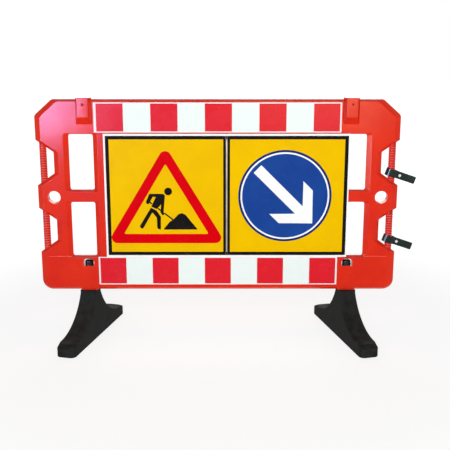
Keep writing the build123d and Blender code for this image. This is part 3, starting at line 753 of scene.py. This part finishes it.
# Joint strip
# A thin aluminium strip covers the gap where the two sign plates meet, with its web pushed in between them.
# Its edges are broken, and the margin and the border lines are carried over it in film.
STRIP_EDGE_RADIUS = 0.0005
STRIP_LEFT_LINE = 0.0022
STRIP_RIGHT_LINE = 0.0008
STRIP_GREY = colour(150, 144, 124)
STRIP_DARK = colour(128, 123, 106)
STRIP_SCRATCH = colour(196, 194, 194)
STRIP_ROUGHNESS = (0.36, 0.50)

joint_strip_aluminium, tree, surface = new_material("joint_strip_aluminium")
skin_look = add_effect(tree, moulded_skin, Grain_Size=0.0006, Patch_Size=0.05)
scuff_look = add_effect(tree, handling_scuffs, Amount=0.5)
drawn = mix_colour(tree, skin_look["Patches"], STRIP_GREY, STRIP_DARK)
looks = {
    "Base Color": mix_colour(tree, scuff_look["Scuffs"], drawn, STRIP_SCRATCH),
    "Roughness": between(tree, skin_look["Patches"], STRIP_ROUGHNESS),
    "Metallic": 1.0,
}
fill_inputs(tree, surface, looks)

strip = add_piece(
    "joint_strip_skin",
    softened_copy("sign_joint_strip", STRIP_EDGE_RADIUS),
    joint_strip_aluminium,
    "panel",
)
shade_rounded(strip)
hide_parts("sign_joint_strip")
low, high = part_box("sign_joint_strip")
left, right = low.x + STRIP_EDGE_RADIUS, high.x - STRIP_EDGE_RADIUS
bottom_line, top_line = low.z + BOTTOM_MARGIN, high.z - TOP_MARGIN
bottom_field, top_field = bottom_line + BORDER_LINE, top_line - BORDER_LINE
strip_films = {
    "top_margin": (rectangle(left, right, top_line, high.z - STRIP_EDGE_RADIUS), white_film),
    "top_line": (rectangle(left, right, top_field, top_line), black_film),
    "bottom_line": (rectangle(left, right, bottom_line, bottom_field), black_film),
    "bottom_margin": (rectangle(left, right, low.z + STRIP_EDGE_RADIUS, bottom_line), white_film),
    "left_line": (rectangle(left, low.x + STRIP_LEFT_LINE, bottom_field, top_field), black_film),
    "right_line": (rectangle(high.x - STRIP_RIGHT_LINE, right, bottom_field, top_field), black_film),
}
for name, (cut, material) in strip_films.items():
    add_piece(f"joint_strip_{name}", cut_film([cut], low.y, FILM), material, "panel")

# Lamp brackets
# A polyethylene bracket stands on each end of the top rail, with a slot for a lamp's tongue and a bolt hole.
# Two screws from behind hold it to the rail.
BRACKET_EDGE_RADIUS = 0.002

for side in ("left", "right"):
    bracket = add_piece(
        f"{side}_bracket_skin",
        softened_copy(f"{side}_lamp_bracket", BRACKET_EDGE_RADIUS),
        orange_polyethylene,
        "panel",
    )
    shade_rounded(bracket)
    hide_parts(f"{side}_lamp_bracket")

# Feet
# Each foot is a heavy casting of recycled black rubber, high at the middle and spreading to two pads.
# The crumb shows as fine speckle, and road dust settles on its upper side.
FOOT_BLACK = colour(30, 31, 31)
FOOT_GREY = colour(40, 42, 41)
FOOT_RUBBED = colour(80, 80, 80)
CRUMB_RANGE = (0.60, 0.72)
CRUMB_SHARE = 0.4
FOOT_ROUGHNESS = (0.48, 0.62)
FOOT_GLOSS = 0.014

black_foot_rubber, tree, surface = new_material("black_foot_rubber")
skin_look = add_effect(tree, moulded_skin, Grain_Size=0.0022, Patch_Size=0.07)
scuff_look = add_effect(tree, handling_scuffs, Amount=0.4)
edge_look = add_effect(tree, edge_wear, Reach=0.006, Amount=0.45)
dust_look = add_effect(tree, settled_dust, Amount=0.03)
crumb_share = math_node(tree, "MULTIPLY", ramp(tree, skin_look["Grain"], *CRUMB_RANGE), CRUMB_SHARE)
cast = mix_colour(tree, skin_look["Patches"], FOOT_BLACK, FOOT_GREY)
speckled = mix_colour(tree, crumb_share, cast, FOOT_RUBBED)
scuff_and_edge_share = math_node(tree, "MAXIMUM", scuff_look["Scuffs"], edge_look["Worn"])
scuff_and_edge_colour = mix_colour(tree, scuff_and_edge_share, speckled, FOOT_RUBBED)
looks = {
    "Base Color": mix_colour(tree, dust_look["Dust"], scuff_and_edge_colour, ROAD_DUST),
    "Roughness": between(tree, skin_look["Patches"], FOOT_ROUGHNESS),
    "Specular IOR Level": FOOT_GLOSS,
    "Normal": bump(tree, skin_look["Grain"], strength=0.35, depth=0.0006).outputs[0],
}
fill_inputs(tree, surface, looks)
for side in ("left", "right"):
    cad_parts[f"{side}_foot"].data.materials[0] = black_foot_rubber

# Pivot posts and strap sockets
# Black nylon posts join the feet to the panel. A split head snaps out in each arched window to hold its post.
# The sockets behind the straps' studs are small turnings of the same plastic.
POST_EDGE_RADIUS = 0.0002
POST_RADIUS = 0.015
POST_HEAD_HEIGHT = 0.034
POST_HEAD_OVERHANG_SHARE = 0.8
POST_HEAD_RISE_SHARE = 0.84
NYLON_BLACK = colour(22, 22, 24)
NYLON_GREY = colour(30, 30, 32)
NYLON_WORN = colour(84, 84, 86)
NYLON_ROUGHNESS = (0.30, 0.42)
NYLON_GLOSS = 0.15

black_plastic, tree, surface = new_material("black_plastic")
skin_look = add_effect(tree, moulded_skin, Grain_Size=0.0008, Patch_Size=0.03)
edge_look = add_effect(tree, edge_wear, Reach=0.0015, Amount=0.4)
moulded = mix_colour(tree, skin_look["Patches"], NYLON_BLACK, NYLON_GREY)
looks = {
    "Base Color": mix_colour(tree, edge_look["Worn"], moulded, NYLON_WORN),
    "Roughness": between(tree, skin_look["Patches"], NYLON_ROUGHNESS),
    "Specular IOR Level": NYLON_GLOSS,
    "Normal": bump(tree, skin_look["Grain"], strength=0.12, depth=0.0002).outputs[0],
}
fill_inputs(tree, surface, looks)
for height in ("upper", "lower"):
    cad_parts[f"{height}_strap_socket"].data.materials[0] = black_plastic

# The heads are drawn slimmer and lower than the CAD's, so that light shows round them in their windows.
for side in ("left", "right"):
    low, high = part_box(f"{side}_pivot_post")
    axis = Vector(((low.x + high.x) / 2, (low.y + high.y) / 2))
    head_base = high.z - POST_HEAD_HEIGHT
    skin = softened_copy(f"{side}_pivot_post", POST_EDGE_RADIUS)
    for corner in skin.verts:
        if corner.co.z < head_base - WELD_GAP:
            continue
        corner.co.z = head_base + (corner.co.z - head_base) * POST_HEAD_RISE_SHARE
        spoke = corner.co.xy - axis
        overhang = spoke.length - POST_RADIUS
        if overhang > 0:
            corner.co.xy = axis + spoke.normalized() * (POST_RADIUS + overhang * POST_HEAD_OVERHANG_SHARE)
    post = add_piece(f"{side}_post_skin", skin, black_plastic, f"{side}_foot_unit")
    shade_rounded(post)
    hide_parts(f"{side}_pivot_post")

# Coupling straps
# Two moulded rubber straps loop round the right-hand grip bars and couple this barrier to the next one.
# Each has a ribbed pull tail, and a white press stud closes its loop.
STRAP_EDGE_RADIUS = 0.0008
STRAP_DARK_GREEN = colour(6, 29, 25)
STRAP_DARK_GREEN_PATCH = colour(10, 34, 29)
STRAP_WORN_AND_EDGE_HIGHLIGHT = colour(92, 102, 97)
STRAP_ROUGHNESS = (0.12, 0.17)
STRAP_GLOSS = 0.22
STUD_WHITE = colour(238, 238, 234)
STUD_CREAM = colour(230, 230, 225)
STUD_WORN = colour(206, 204, 196)
STUD_ROUGHNESS = (0.28, 0.36)

strap_rubber, tree, surface = new_material("strap_rubber")
skin_look = add_effect(tree, moulded_skin, Grain_Size=0.0006, Patch_Size=0.02)
# The pale edges are partly worn rubber and partly a painted highlight along the strap's edges and the flap's
# end.
edge_look = add_effect(tree, edge_wear, Reach=0.0025, Amount=0.8)
moulded = mix_colour(tree, skin_look["Patches"], STRAP_DARK_GREEN, STRAP_DARK_GREEN_PATCH)
looks = {
    "Base Color": mix_colour(tree, edge_look["Worn"], moulded, STRAP_WORN_AND_EDGE_HIGHLIGHT),
    "Roughness": between(tree, skin_look["Patches"], STRAP_ROUGHNESS),
    "Specular IOR Level": STRAP_GLOSS,
    "Normal": bump(tree, skin_look["Grain"], strength=0.1, depth=0.00004).outputs[0],
}
fill_inputs(tree, surface, looks)

white_stud, tree, surface = new_material("white_stud")
skin_look = add_effect(tree, moulded_skin, Grain_Size=0.0005, Patch_Size=0.01)
edge_look = add_effect(tree, edge_wear, Reach=0.001, Amount=0.3)
moulded = mix_colour(tree, skin_look["Patches"], STUD_WHITE, STUD_CREAM)
looks = {
    "Base Color": mix_colour(tree, edge_look["Worn"], moulded, STUD_WORN),
    "Roughness": between(tree, skin_look["Patches"], STUD_ROUGHNESS),
}
fill_inputs(tree, surface, looks)

for height in ("upper", "lower"):
    strap = add_piece(
        f"{height}_strap_skin",
        softened_copy(f"{height}_coupling_strap", STRAP_EDGE_RADIUS),
        strap_rubber,
        f"{height}_strap_unit",
    )
    shade_rounded(strap)
    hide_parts(f"{height}_coupling_strap")
    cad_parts[f"{height}_strap_stud"].data.materials[0] = white_stud

# Fasteners
# The sign studs' nuts and washers and the bracket screws are zinc-plated steel from stock.
# The screws have hexagon sockets, and the ends of the studs show their thread beyond the nuts.
SCREW_SECTIONS = 24
SHANK_RADIUS = 0.003
SCREW_TIP_CHAMFER = 0.0008
SCREW_HEAD_RADIUS = 0.006
SCREW_HEAD_HEIGHT = 0.004
SCREW_HEAD_CHAMFER = 0.0018
SOCKET_HALF_FLATS = 0.002
SOCKET_DEPTH = 0.0022
THREAD_PITCH = 0.001
THREAD_STEPS = 16
THREAD_RISE = 0.0003
THREAD_HALF_WIDTH = 0.00045
THREAD_END_GAP = 0.0004
ZINC_BRIGHT = colour(192, 194, 196)
ZINC_DULL = colour(164, 166, 164)
ZINC_WORN = colour(224, 225, 226)
ZINC_ROUGHNESS = (0.26, 0.46)


def loose_parts(node_name):
    """The boxes of the separate solids in a CAD node, as (low, high) corners."""
    skin = bmesh.new()
    skin.from_mesh(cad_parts[node_name].data)
    bmesh.ops.remove_doubles(skin, verts=skin.verts[:], dist=WELD_GAP)
    counted = set()
    boxes = []
    for start in skin.verts:
        if start in counted:
            continue
        counted.add(start)
        reached = [start]
        for vert in reached:
            joined = [edge.other_vert(vert) for edge in vert.link_edges]
            new = [other for other in joined if other not in counted]
            counted.update(new)
            reached.extend(new)
        low = Vector([min(vert.co[axis] for vert in reached) for axis in range(3)])
        high = Vector([max(vert.co[axis] for vert in reached) for axis in range(3)])
        boxes.append((low, high))
    skin.free()
    return boxes


def hexagon(turn):
    """The reach of a hexagon socket's wall at an angle round its axis."""
    return SOCKET_HALF_FLATS / math.cos((turn + math.pi / 6) % (math.pi / 3) - math.pi / 6)


def towards_back(low, high):
    """The place of a turning that starts at the front of a box and points to the back of the panel."""
    start = ((low.x + high.x) / 2, low.y, (low.z + high.z) / 2)
    return Matrix.Translation(start) @ Matrix.Rotation(-math.pi / 2, 4, "X")


zinc_steel, tree, surface = new_material("zinc_steel")
skin_look = add_effect(tree, moulded_skin, Grain_Size=0.0004, Patch_Size=0.004)
edge_look = add_effect(tree, edge_wear, Reach=0.0008, Amount=0.8)
plated = mix_colour(tree, skin_look["Patches"], ZINC_BRIGHT, ZINC_DULL)
looks = {
    "Base Color": mix_colour(tree, edge_look["Worn"], plated, ZINC_WORN),
    "Roughness": between(tree, skin_look["Patches"], ZINC_ROUGHNESS),
    "Metallic": 1.0,
}
fill_inputs(tree, surface, looks)
for node_name in ("left_sign_nuts", "right_sign_nuts", "left_sign_washers", "right_sign_washers"):
    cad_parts[node_name].data.materials[0] = zinc_steel

screws = bmesh.new()
for low, high in loose_parts("bracket_screws"):
    length = high.y - low.y
    rings = [
        (SHANK_RADIUS - SCREW_TIP_CHAMFER, 0.0),
        (SHANK_RADIUS, SCREW_TIP_CHAMFER),
        (SHANK_RADIUS, length - SCREW_HEAD_HEIGHT),
        (SCREW_HEAD_RADIUS, length - SCREW_HEAD_HEIGHT),
        (SCREW_HEAD_RADIUS, length - SCREW_HEAD_CHAMFER),
        (SCREW_HEAD_RADIUS - SCREW_HEAD_CHAMFER, length),
        (hexagon, length),
        (hexagon, length - SOCKET_DEPTH),
    ]
    add_turning(screws, rings, SCREW_SECTIONS, towards_back(low, high))
screw_set = add_piece("bracket_screw_set", screws, zinc_steel, "panel")
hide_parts("bracket_screws")

thread_shape = ((0.0, -THREAD_HALF_WIDTH), (THREAD_RISE, 0.0), (0.0, THREAD_HALF_WIDTH))
for side in ("left", "right"):
    stud_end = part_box(f"{side}_sign_plate")[1].y
    threads = bmesh.new()
    for low, high in loose_parts(f"{side}_sign_nuts"):
        place = towards_back(low, high)
        start = high.y - low.y + THREAD_END_GAP
        turns = (stud_end - high.y - 2 * THREAD_END_GAP) / THREAD_PITCH
        sections = []
        for step in range(int(turns * THREAD_STEPS) + 1):
            turn = 2 * math.pi * step / THREAD_STEPS
            along = start + THREAD_PITCH * step / THREAD_STEPS
            section = []
            for rise, aside in thread_shape:
                reach = SHANK_RADIUS + rise
                point = Vector((reach * math.cos(turn), reach * math.sin(turn), along + aside))
                section.append(threads.verts.new(place @ point))
            sections.append(section)
        join_sections(threads, sections)
    bmesh.ops.recalc_face_normals(threads, faces=threads.faces[:])
    add_piece(f"{side}_stud_threads", threads, bare_aluminium, "panel")

# Studio
# A pale floor and a white backdrop, with a broad softbox before the panel and another behind it.
# A cool, a warm and a side panel show only in reflections, as the sheen on the rails and the bevels.
FLOOR_SIZE = 30.0
FLOOR_GREY = 0.9
FLOOR_ROUGHNESS = 0.9
FLOOR_GLOW = 1.14
FLOOR_UPLIGHT = 0.5
NEAR_GLOW_SHARE = 0.70
GLOW_START = 1.2
GLOW_FULL = 3.0
FILL_HEIGHTS = (0.1, 0.9)
FILL_LIGHT = 0.60
FILL_FROM_ABOVE = 0.12
COOL_TINT = (0.5, 0.46, 0.9)
WARM_TINT = (0.9, 0.9, 0.62)


def seen_directly(tree):
    """1 for what the camera sees, also mirrored or through glass, and 0 for light that falls on the part."""
    path = tree.nodes.new("ShaderNodeLightPath").outputs
    mirrored = math_node(tree, "MAXIMUM", path["Is Glossy Ray"], path["Is Transmission Ray"])
    return math_node(tree, "MAXIMUM", path["Is Camera Ray"], mirrored)


floor_mesh = bpy.data.meshes.new("floor")
half_floor = FLOOR_SIZE / 2
floor_corners = [(x, y, 0) for x, y in rectangle(-half_floor, half_floor, -half_floor, half_floor)]
floor_mesh.from_pydata(floor_corners, [], [(0, 1, 2, 3)])
floor = bpy.data.objects.new("floor", floor_mesh)
bpy.context.collection.objects.link(floor)
pale_floor, tree, surface = new_material("pale_floor")
looks = {
    "Base Color": (FLOOR_GREY, FLOOR_GREY, FLOOR_GREY, 1),
    "Roughness": FLOOR_ROUGHNESS,
    "Specular IOR Level": 0.0,
}
fill_inputs(tree, surface, looks)
glow = add_node(tree, "ShaderNodeEmission", {"Color": (1, 1, 1, 1), "Strength": FLOOR_GLOW})
on_floor = place_on_piece(tree)
distance = add_node(tree, "ShaderNodeVectorMath", {0: on_floor}, operation="LENGTH").outputs["Value"]
seen_glow = ramp(tree, distance, GLOW_START, GLOW_FULL, NEAR_GLOW_SHARE, 1.0)
glow_shares = {"Factor": seen_directly(tree), "A": FLOOR_UPLIGHT, "B": seen_glow}
glow_share = add_node(tree, "ShaderNodeMix", glow_shares).outputs[0]
lit_floor = add_node(tree, "ShaderNodeMixShader", {0: glow_share, 1: surface.outputs[0], 2: glow.outputs[0]})
tree.links.new(lit_floor.outputs[0], tree.nodes["Material Output"].inputs["Surface"])
floor_mesh.materials.append(pale_floor)

world = bpy.data.worlds.new("white_backdrop")
world.use_nodes = True
bpy.context.scene.world = world
tree = world.node_tree
towards = tree.nodes.new("ShaderNodeTexCoord").outputs["Generated"]
upward = add_node(tree, "ShaderNodeSeparateXYZ", {0: towards}).outputs["Z"]
fill = ramp(tree, upward, *FILL_HEIGHTS, FILL_LIGHT, FILL_FROM_ABOVE)
backdrop = {"Color": (1, 1, 1, 1), "Strength": math_node(tree, "MAXIMUM", fill, seen_directly(tree))}
fill_inputs(tree, tree.nodes["Background"], backdrop)


def add_lamp(name, place, aim, size, brightness, tint=(1, 1, 1), only_mirrored=False):
    """Adds a soft rectangular lamp of an even brightness, turned towards a point."""
    width, height = size
    light = bpy.data.lights.new(name, "AREA")
    light.shape = "RECTANGLE"
    light.size = width
    light.size_y = height
    light.energy = brightness * math.pi * width * height
    light.color = tint
    lamp = bpy.data.objects.new(name, light)
    lamp.location = place
    lamp.rotation_euler = (Vector(aim) - Vector(place)).to_track_quat("-Z", "Y").to_euler()
    lamp.visible_camera = False
    lamp.visible_diffuse = not only_mirrored
    bpy.context.collection.objects.link(lamp)


add_lamp("front_softbox", place=(0.1, -4.6, 2.3), aim=(0, 0, 0.6), size=(3.0, 2.0), brightness=5.9)
add_lamp("back_softbox", place=(0, 4.8, 2.2), aim=(0, 0, 0.6), size=(4.0, 2.4), brightness=3.0)
add_lamp(
    "sheen_panel",
    place=(-1.95, -4.0, 1.06),
    aim=(-0.9, 0, 1.1),
    size=(1.0, 1.1),
    brightness=98.0,
    tint=COOL_TINT,
    only_mirrored=True,
)
add_lamp(
    "warm_panel",
    place=(0.85, -4.0, 1.0),
    aim=(0.5, 0, 1.1),
    size=(1.1, 0.8),
    brightness=12.0,
    tint=WARM_TINT,
    only_mirrored=True,
)
add_lamp(
    "side_panel",
    place=(-2.7, -2.05, 0.6),
    aim=(0.7, 0, 0.7),
    size=(1.2, 1.2),
    brightness=15.0,
    only_mirrored=True,
)

# Camera
# It stands a little over four metres in front of the panel and 1.6 metres above the floor.
# It looks slightly down, through a short telephoto lens.
IMAGE_SIZE = 450
FOCAL_PIXELS = 843.4
SENSOR_WIDTH = 36.0
CAMERA_PLACE = (-0.0113, -4.126, 1.620)
CAMERA_PITCH = math.radians(14.14)
CAMERA_YAW = math.radians(0.03)

view = bpy.data.cameras.new("camera")
view.sensor_width = SENSOR_WIDTH
view.lens = SENSOR_WIDTH * FOCAL_PIXELS / IMAGE_SIZE
camera = bpy.data.objects.new("camera", view)
camera.location = CAMERA_PLACE
camera.rotation_euler = (math.pi / 2 - CAMERA_PITCH, 0, -CAMERA_YAW)
bpy.context.collection.objects.link(camera)
bpy.context.scene.camera = camera
bpy.context.scene.view_settings.view_transform = "Standard"

bpy.context.view_layer.update()
